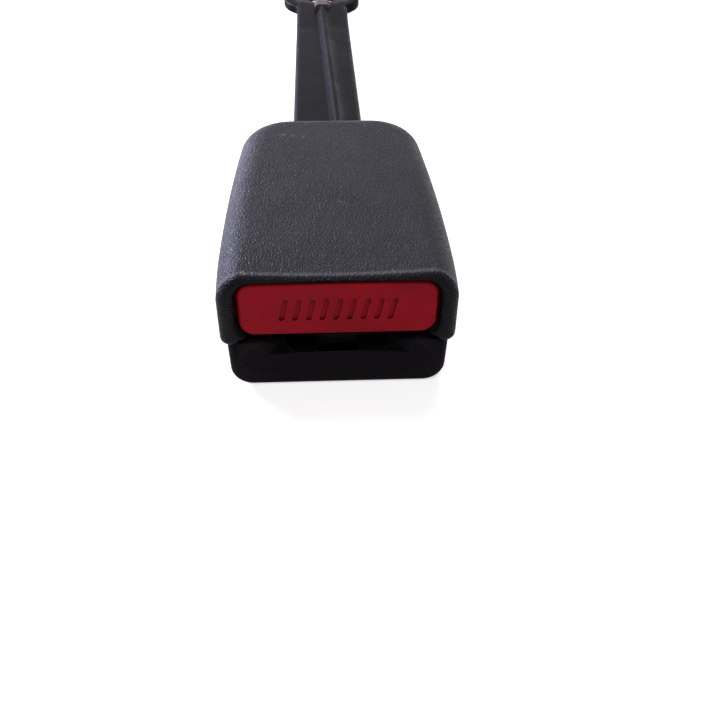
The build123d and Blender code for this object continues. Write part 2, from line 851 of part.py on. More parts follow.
# Rivets through the frame's tail and the strap
rivet_top = passage_floor + strap_steel
with BuildPart() as strap_rivets:
    with BuildSketch(Plane.XY.offset(frame_bottom - rivet_head_height)):
        with Locations(rivet_places):
            Circle(rivet_radius)
    extrude(amount=rivet_top - frame_bottom + 2 * rivet_head_height)
    with BuildSketch(Plane.XY.offset(rivet_top)):
        with Locations(rivet_places):
            Circle(rivet_head_radius)
    extrude(amount=rivet_head_height, taper=rivet_head_taper)
    with BuildSketch(Plane.XY.offset(frame_bottom)):
        with Locations(rivet_places):
            Circle(rivet_head_radius)
    extrude(amount=-rivet_head_height, taper=rivet_head_taper)

write(strap_rivets, "strap_rivets")

# Sheath: a moulded sleeve with the ridge on top and a recess round the eye
bore_points, bore_radii = stalk_line(sheath_front, grommet_end_depth + cut_past, lead_rise, ridge_offset)
ridge_points, ridge_radii = stalk_line(sheath_front, ridge_end_depth, 0, ridge_offset)
sleeve_end_depth = stalk_reach - sheath_horn_setback
sleeve_points, sleeve_radii = stalk_line(sheath_front, sleeve_end_depth, 0, along_axis)
eye_top = eye_mid + sheath_height / 2

with BuildPart() as sheath_sleeve:
    with BuildLine():
        FilletPolyline(*sleeve_points, radius=sleeve_radii)
    sweep(sections=sheath_section(facing(sheath_front, strap_mid), 0))

with BuildPart() as sheath_ridge:
    with BuildLine():
        FilletPolyline(*ridge_points, radius=ridge_radii)
    sweep(sections=ridge_section(facing(sheath_front, strap_mid, ridge_front_offset), 0))

with BuildPart() as sheath_eye:
    with BuildSketch(Plane.XY) as eye_plan:
        with Locations((0, at(strap_level_depth))):
            Rectangle(sheath_width, stalk_reach - strap_level_depth, align=(Align.CENTER, Align.MIN))
        Circle(sheath_eye_radius)
        neck_y = -sqrt(sheath_eye_radius**2 - (sheath_width / 2) ** 2)
        neck = eye_plan.vertices().filter_by_position(Axis.Y, neck_y - cut_past, neck_y + cut_past)
        fillet(neck, sheath_neck_radius)
    extrude(amount=sheath_eye_height)
    eye_front = sheath_eye.faces().sort_by(Axis.Y)[0]
    fillet(sheath_eye.faces().sort_by(Axis.Z)[-1].edges() - eye_front.edges(), sheath_eye_edge)
    eye_front = sheath_eye.faces().sort_by(Axis.Y)[0]
    fillet(sheath_eye.faces().sort_by(Axis.Z)[0].edges() - eye_front.edges(), sheath_eye_foot)

with BuildPart() as lead_bore:
    with BuildLine():
        FilletPolyline(*bore_points, radius=bore_radii)
    with BuildSketch(facing(sheath_front, strap_mid + lead_rise, ridge_front_offset)):
        Circle(lead_radius + running_clearance)
    sweep()

grommet_floor = eye_top - grommet_sink

with BuildPart() as strap_sheath:
    add(sheath_sleeve.part)
    add(sheath_ridge.part)
    add(sheath_eye.part)
    split(bisect_by=Plane.XY, keep=Keep.TOP)
    add(strap_channel, mode=Mode.SUBTRACT)
    add(lead_bore.part, mode=Mode.SUBTRACT)
    with BuildSketch(Plane.XY):
        Circle(eye_radius + running_clearance)
        with Locations((0, at(sheath_open_depth))):
            Rectangle(
                strap_width + 2 * running_clearance,
                stalk_reach - sheath_open_depth,
                align=(Align.CENTER, Align.MIN),
            )
    extrude(amount=eye_mid, mode=Mode.SUBTRACT)
    with BuildSketch(Plane.XY):
        Circle(eye_radius + running_clearance)
    extrude(amount=strap_steel + running_clearance, mode=Mode.SUBTRACT)
    with BuildSketch(Plane.XY):
        Circle(sheath_recess_radius)
    extrude(amount=2 * eye_top, mode=Mode.SUBTRACT)
    with BuildSketch(Plane.XY.offset(grommet_floor)):
        with Locations((ridge_rear_offset, at(ridge_end_depth))):
            Rectangle(
                grommet_width,
                grommet_end_depth + cut_past - ridge_end_depth,
                align=(Align.CENTER, Align.MIN),
            )
    extrude(amount=grommet_height, mode=Mode.SUBTRACT)

write(strap_sheath, "strap_sheath")

# Grommet at the ridge's end, where the lead leaves the sheath
with BuildPart() as lead_grommet:
    with BuildSketch(Plane.XY.offset(grommet_floor)):
        with Locations((ridge_rear_offset, at(ridge_end_depth))):
            Rectangle(
                grommet_width,
                grommet_end_depth - ridge_end_depth,
                align=(Align.CENTER, Align.MIN),
            )
    extrude(amount=grommet_height)
    fillet(lead_grommet.edges().filter_by(Axis.Y).group_by(Axis.Z)[-1], grommet_edge)
    fillet(lead_grommet.faces().sort_by(Axis.Y)[-1].edges().group_by(Axis.Z)[-1], grommet_edge / 2)
    add(lead_bore.part, mode=Mode.SUBTRACT)

write(lead_grommet, "lead_grommet")

# Switch housing on the frame's right wall, and its lead inside the ridge
with BuildPart() as switch_housing:
    with BuildSketch(Plane.XY.offset(switch_bottom)):
        with Locations((frame_half + switch_width / 2, at((switch_front + switch_rear) / 2))):
            RectangleRounded(switch_width, switch_rear - switch_front, switch_corner)
    extrude(amount=switch_top - switch_bottom)
    chamfer(switch_housing.faces().sort_by(Axis.Z)[-1].edges(), switch_edge)

write(switch_housing, "switch_housing")

lead_height = strap_mid + lead_rise
lead_points, lead_radii = stalk_line(lead_turn_depth, lead_end_depth, lead_rise, ridge_offset)
lead_route = [
    (lead_exit_offset, at(switch_rear), lead_height),
    (lead_exit_offset, at(lead_turn_depth), lead_height),
] + lead_points
with BuildPart() as switch_lead:
    with BuildLine():
        FilletPolyline(*lead_route, radius=[lead_turn_radius, lead_turn_radius] + lead_radii)
    with BuildSketch(facing(switch_rear, lead_height, lead_exit_offset)):
        Circle(lead_radius)
    sweep()

write(switch_lead, "switch_lead")

# Screws that hold the covers together, with their heads sunk in the tray's floor
screw_head_top = screw_sink + screw_head_height
with BuildPart() as cover_screws:
    with BuildSketch(Plane.XY.offset(screw_sink)):
        with Locations(screw_places):
            Circle(screw_head_radius)
    extrude(amount=screw_head_height)
    with BuildSketch(Plane.XY.offset(screw_head_top)):
        with Locations(screw_places):
            Circle(screw_radius)
    extrude(amount=screw_length)

write(cover_screws, "cover_screws")
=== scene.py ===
"""Looks, light and camera for a seat belt buckle on its sheathed stalk."""

import json
import logging
import math
from abc import ABC, abstractmethod
from dataclasses import dataclass
from enum import Enum

import bmesh
import bpy
from mathutils import Matrix, Vector

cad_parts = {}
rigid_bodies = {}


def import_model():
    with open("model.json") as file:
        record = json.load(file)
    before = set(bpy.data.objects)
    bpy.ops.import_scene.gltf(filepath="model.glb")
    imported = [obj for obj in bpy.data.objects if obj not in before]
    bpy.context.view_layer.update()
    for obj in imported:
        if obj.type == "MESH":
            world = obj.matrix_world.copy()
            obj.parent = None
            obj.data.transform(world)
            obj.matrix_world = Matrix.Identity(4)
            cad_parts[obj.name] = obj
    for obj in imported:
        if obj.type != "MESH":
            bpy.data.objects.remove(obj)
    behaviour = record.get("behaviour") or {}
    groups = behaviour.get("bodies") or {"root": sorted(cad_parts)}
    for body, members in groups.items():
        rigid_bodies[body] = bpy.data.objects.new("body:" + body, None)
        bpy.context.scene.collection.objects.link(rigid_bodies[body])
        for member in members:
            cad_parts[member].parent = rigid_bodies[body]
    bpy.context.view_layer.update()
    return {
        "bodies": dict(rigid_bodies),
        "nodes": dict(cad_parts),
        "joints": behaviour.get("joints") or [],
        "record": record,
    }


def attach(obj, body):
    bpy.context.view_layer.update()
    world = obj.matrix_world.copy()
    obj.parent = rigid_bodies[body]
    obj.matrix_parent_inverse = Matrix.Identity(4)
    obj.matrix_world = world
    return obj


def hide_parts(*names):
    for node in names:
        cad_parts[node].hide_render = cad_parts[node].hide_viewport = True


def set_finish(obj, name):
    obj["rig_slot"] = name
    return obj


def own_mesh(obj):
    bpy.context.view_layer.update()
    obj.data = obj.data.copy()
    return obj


log = logging.getLogger("buckle")

MM = 0.001
REACH = 246.0
SENSOR = 36.0
WHITE = (1.0, 1.0, 1.0)

Colour = tuple[float, float, float]
Spots = tuple[tuple[Vector, float], ...]
Window = tuple[float, float, float, float]
Outline = list[tuple[float, float]]
Mesh = bmesh.types.BMesh
Ring = list[bmesh.types.BMVert]
Socket = bpy.types.NodeSocket
Sockets = dict[str, Socket]
Outlets = bpy.types.bpy_prop_collection


class Slot(str, Enum):
    """Material slots of the record that the pieces take their finish from."""

    COVER = "cover_plastic"
    TRAY = "tray_plastic"
    BUTTON = "button_plastic"
    FRAME = "frame_steel"
    LATCH = "latch_steel"
    PIN = "pin_steel"
    SPRING = "spring_steel"
    SLIDER = "slider_plastic"
    GUIDE = "guide_plastic"
    STRAP = "strap_steel"
    SHEATH = "sheath_plastic"
    SWITCH = "switch_plastic"
    MAGNET = "magnet"
    LEAD = "lead_jacket"
    GROMMET = "grommet_rubber"
    SCREW = "screw_steel"


def place(x: float, depth: float, z: float) -> Vector:
    """Point in metres from X, the depth behind the front face and Z, all in millimetres."""
    return Vector((x, depth - REACH, z)) * MM


def shade(colour: Colour, factor: float, lift: float = 0.0) -> Colour:
    """Colour times a factor plus a lift, kept below white."""
    return tuple(min(1.0, c * factor + lift) for c in colour)


def linked(name: str, data: bpy.types.ID) -> bpy.types.Object:
    """Object of that name and data, put into the scene.

    Args:
        name: Name of the object.
        data: What it shows.

    Returns:
        The new object.
    """
    thing = bpy.data.objects.new(name, data)
    bpy.context.scene.collection.objects.link(thing)
    return thing


def formed(name: str, mesh: Mesh) -> bpy.types.Object:
    """Turn a gathered mesh into an object of the scene.

    Args:
        name: Name of the object and of its mesh.
        mesh: Gathered mesh, freed here.

    Returns:
        The new object.
    """
    data = bpy.data.meshes.new(name)
    mesh.to_mesh(data)
    mesh.free()
    return linked(name, data)


def band(mesh: Mesh, near: Ring, far: Ring) -> None:
    """Join two closed rings of corners with faces.

    Args:
        mesh: Mesh that holds the rings.
        near: Corners of the first ring in order.
        far: Corners of the second ring, as many as the first has.
    """
    count = len(near)
    for k in range(count):
        n = (k + 1) % count
        mesh.faces.new((near[k], near[n], far[n], far[k]))


class Graph:
    """Short way to add and link the nodes of one tree."""

    def __init__(self, tree: bpy.types.NodeTree) -> None:
        """Keep the tree that the nodes go into."""
        self.tree = tree

    def add(self, kind: str, settings: dict | None = None, feeds: dict | None = None) -> bpy.types.Node:
        """Add one node.

        Args:
            kind: Type name of the node.
            settings: Attributes to set on it.
            feeds: Values or sockets for its inputs, by name or number.

        Returns:
            The new node.
        """
        node = self.tree.nodes.new(kind)
        for key, value in (settings or {}).items():
            setattr(node, key, value)
        for key, value in (feeds or {}).items():
            self.feed(node.inputs[key], value)
        return node

    def feed(self, socket: Socket, value: object) -> None:
        """Link a socket to another, or set its value.

        Args:
            socket: Input that takes it.
            value: Socket or plain value.
        """
        if isinstance(value, Socket):
            self.tree.links.new(value, socket)
        else:
            socket.default_value = value

    def math(self, operation: str, a: object, b: object = 0.0) -> Socket:
        """Result of one operation on two values."""
        return self.add("ShaderNodeMath", {"operation": operation}, {0: a, 1: b}).outputs[0]

    def times(self, a: object, b: object) -> Socket:
        """Product of two values."""
        return self.math("MULTIPLY", a, b)

    def vector(self, operation: str, a: object, b: object) -> Outlets:
        """Outputs of one operation on two vectors."""
        return self.add("ShaderNodeVectorMath", {"operation": operation}, {0: a, 1: b}).outputs

    def blend(self, share: object, a: object, b: object) -> Socket:
        """Colour between a and b."""
        a, b = (c if isinstance(c, Socket) else (*c, 1.0) for c in (a, b))
        return self.add("ShaderNodeMix", {"data_type": "RGBA"}, {0: share, 6: a, 7: b}).outputs[2]

    def coat(self, colour: object, paint: Colour, mask: Socket, share: object) -> Socket:
        """Colour with a paint over it that covers a share where the mask is one."""
        return self.blend(self.times(mask, share), colour, paint)

    def span(self, value: object, low: object, high: object, start: float = 0.0, end: float = 1.0) -> Socket:
        """Smooth step of a value from low to high.

        Args:
            value: Value to map.
            low: Value that gives start.
            high: Value that gives end.
            start: Result at low.
            end: Result at high.

        Returns:
            The mapped value's socket.
        """
        feeds = {0: value, 1: low, 2: high, 3: start, 4: end}
        return self.add("ShaderNodeMapRange", {"interpolation_type": "SMOOTHSTEP"}, feeds).outputs[0]

    def noise(self, vector: object, scale: object, detail: float = 3.0, rough: float = 0.55) -> Socket:
        """Even noise about 0.5.

        Args:
            vector: Place it is taken at.
            scale: Waves in a metre.
            detail: Octaves.
            rough: Weight of the finer octaves.

        Returns:
            The noise value's socket.
        """
        feeds = {"Vector": vector, "Scale": scale, "Detail": detail, "Roughness": rough}
        return self.add("ShaderNodeTexNoise", None, feeds).outputs[0]


class Surface(Graph):
    """Graph of a new material, with its shader and the place on the piece."""

    def __init__(self, name: str) -> None:
        """Start a material of that name."""
        self.material = bpy.data.materials.new(name)
        self.material.use_nodes = True
        super().__init__(self.material.node_tree)
        self.shader = self.tree.nodes["Principled BSDF"]
        self.where = self.add("ShaderNodeTexCoord").outputs["Object"]

    def give(self, name: str, value: object) -> None:
        """Feed one input of the shader."""
        self.feed(self.shader.inputs[name], value)

    def bump(self, height: object, depth: float) -> None:
        """Feed a height from 0 to 1 into the normal, where 1 stands for a depth in metres."""
        feeds = {"Height": height, "Distance": depth, "Strength": 1.0}
        self.give("Normal", self.add("ShaderNodeBump", None, feeds).outputs[0])


class Effect(ABC):
    """One surface effect kept as a shader node group and shared by the finishes."""

    title = "effect"
    places: tuple[str, ...] = ("Vector",)
    takes: dict[str, float] = {}
    gives: tuple[str, ...] = ("Mask",)

    @abstractmethod
    def wire(self, graph: Graph, inlet: Outlets) -> Sockets:
        """Lay out the group's nodes and return its outputs by name."""

    def tree(self) -> bpy.types.NodeTree:
        """Group of this effect, made at its first use.

        Returns:
            The node group.
        """
        kept = bpy.data.node_groups.get(self.title)
        if kept:
            return kept
        tree = bpy.data.node_groups.new(self.title, "ShaderNodeTree")
        for name in self.places:
            tree.interface.new_socket(name, in_out="INPUT", socket_type="NodeSocketVector")
        for name, value in self.takes.items():
            socket = tree.interface.new_socket(name, in_out="INPUT", socket_type="NodeSocketFloat")
            socket.default_value = value
        for name in self.gives:
            tree.interface.new_socket(name, in_out="OUTPUT", socket_type="NodeSocketFloat")
        graph = Graph(tree)
        inlet = graph.add("NodeGroupInput")
        outlet = graph.add("NodeGroupOutput")
        for name, socket in self.wire(graph, inlet.outputs).items():
            tree.links.new(socket, outlet.inputs[name])
        return tree

    def use(self, graph: Surface, **feeds: object) -> Outlets:
        """Put the group into a material.

        Args:
            graph: Material's graph.
            **feeds: Values or sockets for the group's other inputs.

        Returns:
            The group node's outputs.
        """
        feeds = {"Vector": graph.where, **feeds}
        return graph.add("ShaderNodeGroup", {"node_tree": self.tree()}, feeds).outputs


class LeatherGrain(Effect):
    """Pebbled grain of a moulded cover."""

    title = "Leather grain"
    takes = {"Cell": 0.0008}
    gives = ("Height", "Crease")

    def wire(self, graph: Graph, inlet: Outlets) -> Sockets:
        """Cells with soft creases between them, bent by a little noise.

        Args:
            graph: Group's graph.
            inlet: Group's inputs.

        Returns:
            Group's outputs by name.
        """
        scale = graph.math("DIVIDE", 1.0, inlet["Cell"])
        feeds = {"Vector": inlet["Vector"], "Scale": scale, "Detail": 2.0}
        wobble = graph.add("ShaderNodeTexNoise", None, feeds)
        feeds = {0: wobble.outputs[1], "Scale": graph.times(inlet["Cell"], 0.9)}
        shift = graph.add("ShaderNodeVectorMath", {"operation": "SCALE"}, feeds)
        bent = graph.vector("ADD", inlet["Vector"], shift.outputs[0])[0]
        feeds = {"Vector": bent, "Scale": scale}
        cells = graph.add("ShaderNodeTexVoronoi", {"feature": "DISTANCE_TO_EDGE"}, feeds)
        swell = graph.span(cells.outputs["Distance"], 0.0, 0.36)
        fine = graph.noise(bent, graph.times(scale, 3.0), 2.0)
        height = graph.math("ADD", swell, graph.times(fine, 0.35))
        return {"Height": height, "Crease": graph.math("SUBTRACT", 1.0, swell)}


class Mottle(Effect):
    """Slow change of tone, as handling and ageing leave it."""

    title = "Mottle"
    takes = {"Size": 0.01}
    gives = ("Value",)

    def wire(self, graph: Graph, inlet: Outlets) -> Sockets:
        """Wide noise broken by a finer one.

        Args:
            graph: Group's graph.
            inlet: Group's inputs.

        Returns:
            Group's outputs by name.
        """
        scale = graph.math("DIVIDE", 1.0, inlet["Size"])
        wide = graph.noise(inlet["Vector"], scale, 4.0, 0.6)
        fine = graph.noise(inlet["Vector"], graph.times(scale, 6.5), 3.0, 0.6)
        mixed = graph.math("ADD", graph.times(wide, 0.65), graph.times(fine, 0.35))
        return {"Value": graph.span(mixed, 0.32, 0.68)}


class Scuffs(Effect):
    """Fine short scratches that cross each other."""

    title = "Scuffs"
    takes = {"Share": 0.5}

    def wire(self, graph: Graph, inlet: Outlets) -> Sockets:
        """Thin lines in two directions, cut off where a slow noise is low.

        Args:
            graph: Group's graph.
            inlet: Group's inputs.

        Returns:
            Group's outputs by name.
        """
        lines = []
        for turn, size in ((0.5, (150.0, 1400.0, 300.0)), (-0.9, (170.0, 1700.0, 260.0))):
            feeds = {"Vector": inlet["Vector"], "Angle": turn}
            turned = graph.add("ShaderNodeVectorRotate", {"rotation_type": "Z_AXIS"}, feeds)
            streak = graph.noise(graph.vector("MULTIPLY", turned.outputs[0], size)[0], 1.0, 1.0, 0.4)
            away = graph.math("ABSOLUTE", graph.math("SUBTRACT", streak, 0.5))
            lines.append(graph.span(away, 0.012, 0.002))
        both = graph.math("MAXIMUM", lines[0], lines[1])
        gate = graph.noise(inlet["Vector"], 160.0, 3.0, 0.7)
        open_at = graph.math("SUBTRACT", 1.0, graph.times(inlet["Share"], 0.5))
        shown = graph.span(gate, open_at, graph.math("ADD", open_at, 0.12))
        return {"Mask": graph.times(both, shown)}


class Specks(Effect):
    """Scattered dust grains of uneven size."""

    title = "Specks"
    takes = {"Size": 0.002, "Share": 0.2}

    def wire(self, graph: Graph, inlet: Outlets) -> Sockets:
        """Round cells, most of them left out by their own random value.

        Args:
            graph: Group's graph.
            inlet: Group's inputs.

        Returns:
            Group's outputs by name.
        """
        scale = graph.math("DIVIDE", 1.0, inlet["Size"])
        cells = graph.add("ShaderNodeTexVoronoi", None, {"Vector": inlet["Vector"], "Scale": scale})
        pick = graph.add("ShaderNodeSeparateColor", None, {0: cells.outputs["Color"]})
        radius = graph.times(pick.outputs[1], 0.16)
        dot = graph.span(cells.outputs["Distance"], radius, graph.times(radius, 0.45))
        chosen = graph.math("LESS_THAN", pick.outputs[0], inlet["Share"])
        return {"Mask": graph.times(dot, chosen)}


class Spot(Effect):
    """One ragged patch of dirt or wear at a place."""

    title = "Spot"
    places = ("Vector", "Centre")
    takes = {"Radius": 0.002}

    def wire(self, graph: Graph, inlet: Outlets) -> Sockets:
        """Distance from the place, made uneven by noise.

        Args:
            graph: Group's graph.
            inlet: Group's inputs.

        Returns:
            Group's outputs by name.
        """
        away = graph.vector("DISTANCE", inlet["Vector"], inlet["Centre"])["Value"]
        ragged = graph.noise(inlet["Vector"], 900.0, 4.0, 0.7)
        reach = graph.math("DIVIDE", away, inlet["Radius"])
        near = graph.math("ADD", reach, graph.times(ragged, 1.3))
        return {"Mask": graph.span(near, 1.45, 1.0)}


class EdgeWear(Effect):
    """Rubbed edges, found from how far the surface turns within a radius."""

    title = "Edge wear"
    takes = {"Radius": 0.0006}

    def wire(self, graph: Graph, inlet: Outlets) -> Sockets:
        """Difference of the rounded and the plain normal, broken by noise.

        Args:
            graph: Group's graph.
            inlet: Group's inputs.

        Returns:
            Group's outputs by name.
        """
        rounded = graph.add("ShaderNodeBevel", {"samples": 4}, {"Radius": inlet["Radius"]})
        plain = graph.add("ShaderNodeNewGeometry")
        turn = graph.vector("DOT_PRODUCT", rounded.outputs[0], plain.outputs["Normal"])["Value"]
        edge = graph.span(turn, 0.995, 0.93)
        broken = graph.span(graph.noise(inlet["Vector"], 1200.0, 4.0, 0.7), 0.35, 0.65)
        return {"Mask": graph.times(edge, broken)}


class RolledGrain(Effect):
    """Long faint lines left by rolling, drawing or stamping."""

    title = "Rolled grain"
    gives = ("Height", "Value")

    def wire(self, graph: Graph, inlet: Outlets) -> Sockets:
        """Noise drawn out along Y, with fine pits.

        Args:
            graph: Group's graph.
            inlet: Group's inputs.

        Returns:
            Group's outputs by name.
        """
        drawn = graph.vector("MULTIPLY", inlet["Vector"], (2600.0, 90.0, 2600.0))[0]
        lines = graph.noise(drawn, 1.0, 3.0, 0.6)
        pits = graph.noise(inlet["Vector"], 2400.0, 2.0, 0.7)
        height = graph.math("ADD", graph.times(lines, 0.7), graph.times(pits, 0.3))
        return {"Height": height, "Value": graph.span(lines, 0.3, 0.7)}


class PaintedRimLight(Effect):
    """Painted highlight on the crest over the front opening, and painted shade on the face below it.

    Crest is the painted highlight, Face the painted shade on the rim and under the feet, and Front
    what looks ahead within the first millimetres.
    """

    title = "Painted rim light"
    gives = ("Crest", "Face", "Front")

    def wire(self, graph: Graph, inlet: Outlets) -> Sockets:
        """All from the depth behind the front and from how far the surface has turned towards it.

        Args:
            graph: Group's graph.
            inlet: Group's inputs.

        Returns:
            Group's outputs by name.
        """
        geometry = graph.add("ShaderNodeNewGeometry")
        normal = graph.add("ShaderNodeSeparateXYZ", None, {0: geometry.outputs["Normal"]})
        ahead = graph.span(graph.times(normal.outputs["Y"], -1.0), 0.4, 0.68)
        spot = graph.add("ShaderNodeSeparateXYZ", None, {0: inlet["Vector"]})
        depth = graph.times(graph.math("SUBTRACT", spot.outputs["Y"], place(0, 0, 0).y), 1.0 / MM)
        rim = graph.span(depth, 2.5, 1.5)
        broken = graph.span(graph.noise(inlet["Vector"], 1500.0, 3.0, 0.7), 0.25, 0.7, 0.35, 1.0)
        # painted highlight: a band along the crest, broken by noise
        edge = graph.times(graph.span(depth, 3.3, 2.6), graph.span(depth, 1.7, 2.3))
        narrow = graph.span(graph.math("ABSOLUTE", spot.outputs["X"]), 0.0222, 0.0212)
        low = graph.span(spot.outputs["Z"], 0.0142, 0.0132)
        under = graph.times(graph.times(narrow, low), graph.span(depth, 9.0, 7.0))
        # painted shade: front-facing surfaces, the first millimetres of depth and the underside of the feet
        face = graph.math("MAXIMUM", graph.math("MAXIMUM", ahead, rim), under)
        front = graph.times(ahead, graph.span(depth, 3.0, 2.4))
        return {"Crest": graph.times(edge, broken), "Face": face, "Front": front}


@dataclass(frozen=True)
class Finish(ABC):
    """What all finishes share.

    Attributes:
        slot: Material slot it belongs to.
        colour: Main colour, linear.
        rough: Roughness of the clean surface.
        shine: Level of the surface's own reflection.
    """

    slot: Slot
    colour: Colour
    rough: float = 0.5
    shine: float = 0.5

    @abstractmethod
    def dress(self, graph: Surface) -> None:
        """Wire the finish into a material's shader."""

    def build(self) -> bpy.types.Material:
        """Make the material of this finish.

        Returns:
            The material.
        """
        graph = Surface(self.slot.value)
        graph.give("Specular IOR Level", self.shine)
        self.dress(graph)
        log.info("finish %s", self.slot.value)
        return graph.material

    def roughen(self, graph: Surface, tone: Socket, less: float, more: float) -> None:
        """Let the roughness follow a tone, from less below the clean surface's to more above it."""
        graph.give("Roughness", graph.span(tone, 0.0, 1.0, self.rough - less, self.rough + more))


@dataclass(frozen=True)
class GrainedPlastic(Finish):
    """Charcoal cover plastic with a leather grain, dusty creases, rubbed edges, and painted highlights and
    shade at the rim.

    Attributes:
        cell: Size of one grain in metres.
        relief: Height of the grain in metres.
        dirt: Places and radii of brown dirt, in metres.
        chips: Places and radii of small pale marks, in metres.
        dust: Colour of the dust in the creases.
        speck: Colour of loose dust grains.
        scratch: Colour of the scuffs.
        rubbed: Colour of the rubbed edges: real wear, and a painted highlight along the lip's inner edge.
        soil: Colour of the dirt.
        chip: Colour of the pale marks.
        face: Colour of the painted shade on the face round the button and under the feet.
        crest: Colour of the painted highlight on the crest over it.
    """

    cell: float = 0.0007
    relief: float = 0.00014
    dirt: Spots = ()
    chips: Spots = ()
    dust: Colour = (0.2, 0.19, 0.18)
    speck: Colour = (0.42, 0.38, 0.33)
    scratch: Colour = (0.16, 0.16, 0.175)
    rubbed: Colour = (0.16, 0.16, 0.17)
    soil: Colour = (0.13, 0.075, 0.04)
    chip: Colour = (0.22, 0.2, 0.18)
    face: Colour = (0.003, 0.003, 0.0035)
    crest: Colour = (0.14, 0.14, 0.15)

    def dress(self, graph: Surface) -> None:
        """Grain, tone, dust, dirt, rubbed edges, and painted highlight and shade round the opening.

        Args:
            graph: Graph of the material.
        """
        grain = LeatherGrain().use(graph, Cell=self.cell)
        tone = Mottle().use(graph, Size=0.014)["Value"]
        scuffs = Scuffs().use(graph, Share=0.75)["Mask"]
        specks = Specks().use(graph, Size=0.0026, Share=0.09)["Mask"]
        rub = EdgeWear().use(graph, Radius=0.0009)["Mask"]
        painted_rim = PaintedRimLight().use(graph)
        colour = graph.blend(tone, self.colour, shade(self.colour, 1.2))
        colour = graph.coat(colour, self.dust, grain["Crease"], graph.times(tone, 0.04))
        colour = graph.coat(colour, self.scratch, scuffs, 0.16)
        colour = graph.coat(colour, self.speck, specks, 0.3)
        # rubbed edges: real edge wear, and a painted highlight on the lip's inner edge
        colour = graph.coat(colour, self.rubbed, rub, 0.08)
        for spots, paint, share in ((self.dirt, self.soil, 0.6), (self.chips, self.chip, 0.3)):
            for centre, radius in spots:
                spot = Spot().use(graph, Centre=centre, Radius=radius)["Mask"]
                colour = graph.coat(colour, paint, spot, share)
        # painted shade on the face round the button and under the feet, then a painted highlight on the
        # crest above it
        colour = graph.coat(colour, self.face, painted_rim["Face"], 0.85)
        colour = graph.coat(colour, self.crest, painted_rim["Crest"], 0.42)
        graph.give("Base Color", colour)
        rough = graph.span(grain["Crease"], 0.0, 1.0, self.rough - 0.05, self.rough + 0.14)
        graph.give("Roughness", graph.math("SUBTRACT", rough, graph.times(rub, 0.12)))
        height = graph.math("SUBTRACT", grain["Height"], graph.times(scuffs, 0.3))
        graph.bump(height, self.relief)


@dataclass(frozen=True)
class MouldedPlastic(Finish):
    """Plain moulded plastic with faint texture, dust and rubbed edges.

    Attributes:
        worn: Colour of its rubbed edges.
        rubbed: How strongly the rubbed edges show.
        dusty: Share of dust that lies on it.
        relief: Height of its surface texture in metres.
        shaded: How strongly painted shade darkens its sides against its front.
        speck: Colour of loose dust grains.
        soil: Colour of the dirt.
        dirt: Places and radii of single patches of dirt, in metres.
    """

    worn: Colour = (0.12, 0.12, 0.12)
    rubbed: float = 0.4
    dusty: float = 0.05
    relief: float = 0.00002
    shaded: float = 0.0
    speck: Colour = (0.45, 0.41, 0.37)
    soil: Colour = (0.16, 0.085, 0.05)
    dirt: Spots = ()

    def dress(self, graph: Surface) -> None:
        """Tone, scuffs, dust and rubbed edges.

        Args:
            graph: Graph of the material.
        """
        tone = Mottle().use(graph, Size=0.009)["Value"]
        scuffs = Scuffs().use(graph, Share=0.6)["Mask"]
        rub = EdgeWear().use(graph, Radius=0.0005)["Mask"]
        specks = Specks().use(graph, Size=0.0019, Share=self.dusty)["Mask"]
        colour = graph.blend(tone, shade(self.colour, 0.82), shade(self.colour, 1.12))
        colour = graph.coat(colour, self.worn, scuffs, 0.1)
        colour = graph.coat(colour, self.worn, rub, self.rubbed)
        colour = graph.coat(colour, self.speck, specks, 0.55)
        for centre, radius in self.dirt:
            spot = Spot().use(graph, Centre=centre, Radius=radius)["Mask"]
            colour = graph.coat(colour, self.soil, spot, 0.8)
        # painted shade on the sides, groove walls and deeper parts, darker than the front face
        if self.shaded:
            front = PaintedRimLight().use(graph)["Front"]
            side = graph.math("SUBTRACT", 1.0, front)
            colour = graph.coat(colour, shade(self.colour, 0.12), side, self.shaded)
        graph.give("Base Color", colour)
        self.roughen(graph, tone, 0.05, 0.07)
        fine = graph.noise(graph.where, 3200.0, 3.0, 0.6)
        graph.bump(graph.math("SUBTRACT", fine, graph.times(scuffs, 0.5)), self.relief)


@dataclass(frozen=True)
class SheetSteel(Finish):
    """Rolled or stamped steel with its lines, stains and bright edges.

    Attributes:
        stain: Colour of the patches on it.
        stained: Share of the surface they cover.
        metal: How far it reflects as bare metal.
        relief: Height of its lines and pits in metres.
    """

    stain: Colour = (0.12, 0.08, 0.05)
    stained: float = 0.3
    metal: float = 1.0
    relief: float = 0.000015

    def dress(self, graph: Surface) -> None:
        """Rolling lines, stains and bright edges.

        Args:
            graph: Graph of the material.
        """
        grain = RolledGrain().use(graph)
        tone = Mottle().use(graph, Size=0.006)["Value"]
        rub = EdgeWear().use(graph, Radius=0.0004)["Mask"]
        colour = graph.blend(grain["Value"], shade(self.colour, 0.88), self.colour)
        patches = graph.span(tone, 1.0 - self.stained, min(1.0, 1.25 - self.stained))
        colour = graph.blend(patches, colour, self.stain)
        colour = graph.coat(colour, shade(self.colour, 1.5, 0.1), rub, 0.5)
        graph.give("Base Color", colour)
        self.roughen(graph, tone, 0.06, 0.14)
        metallic = graph.span(patches, 0.0, 1.0, self.metal, self.metal * 0.4)
        graph.give("Metallic", metallic)
        graph.bump(grain["Height"], self.relief)


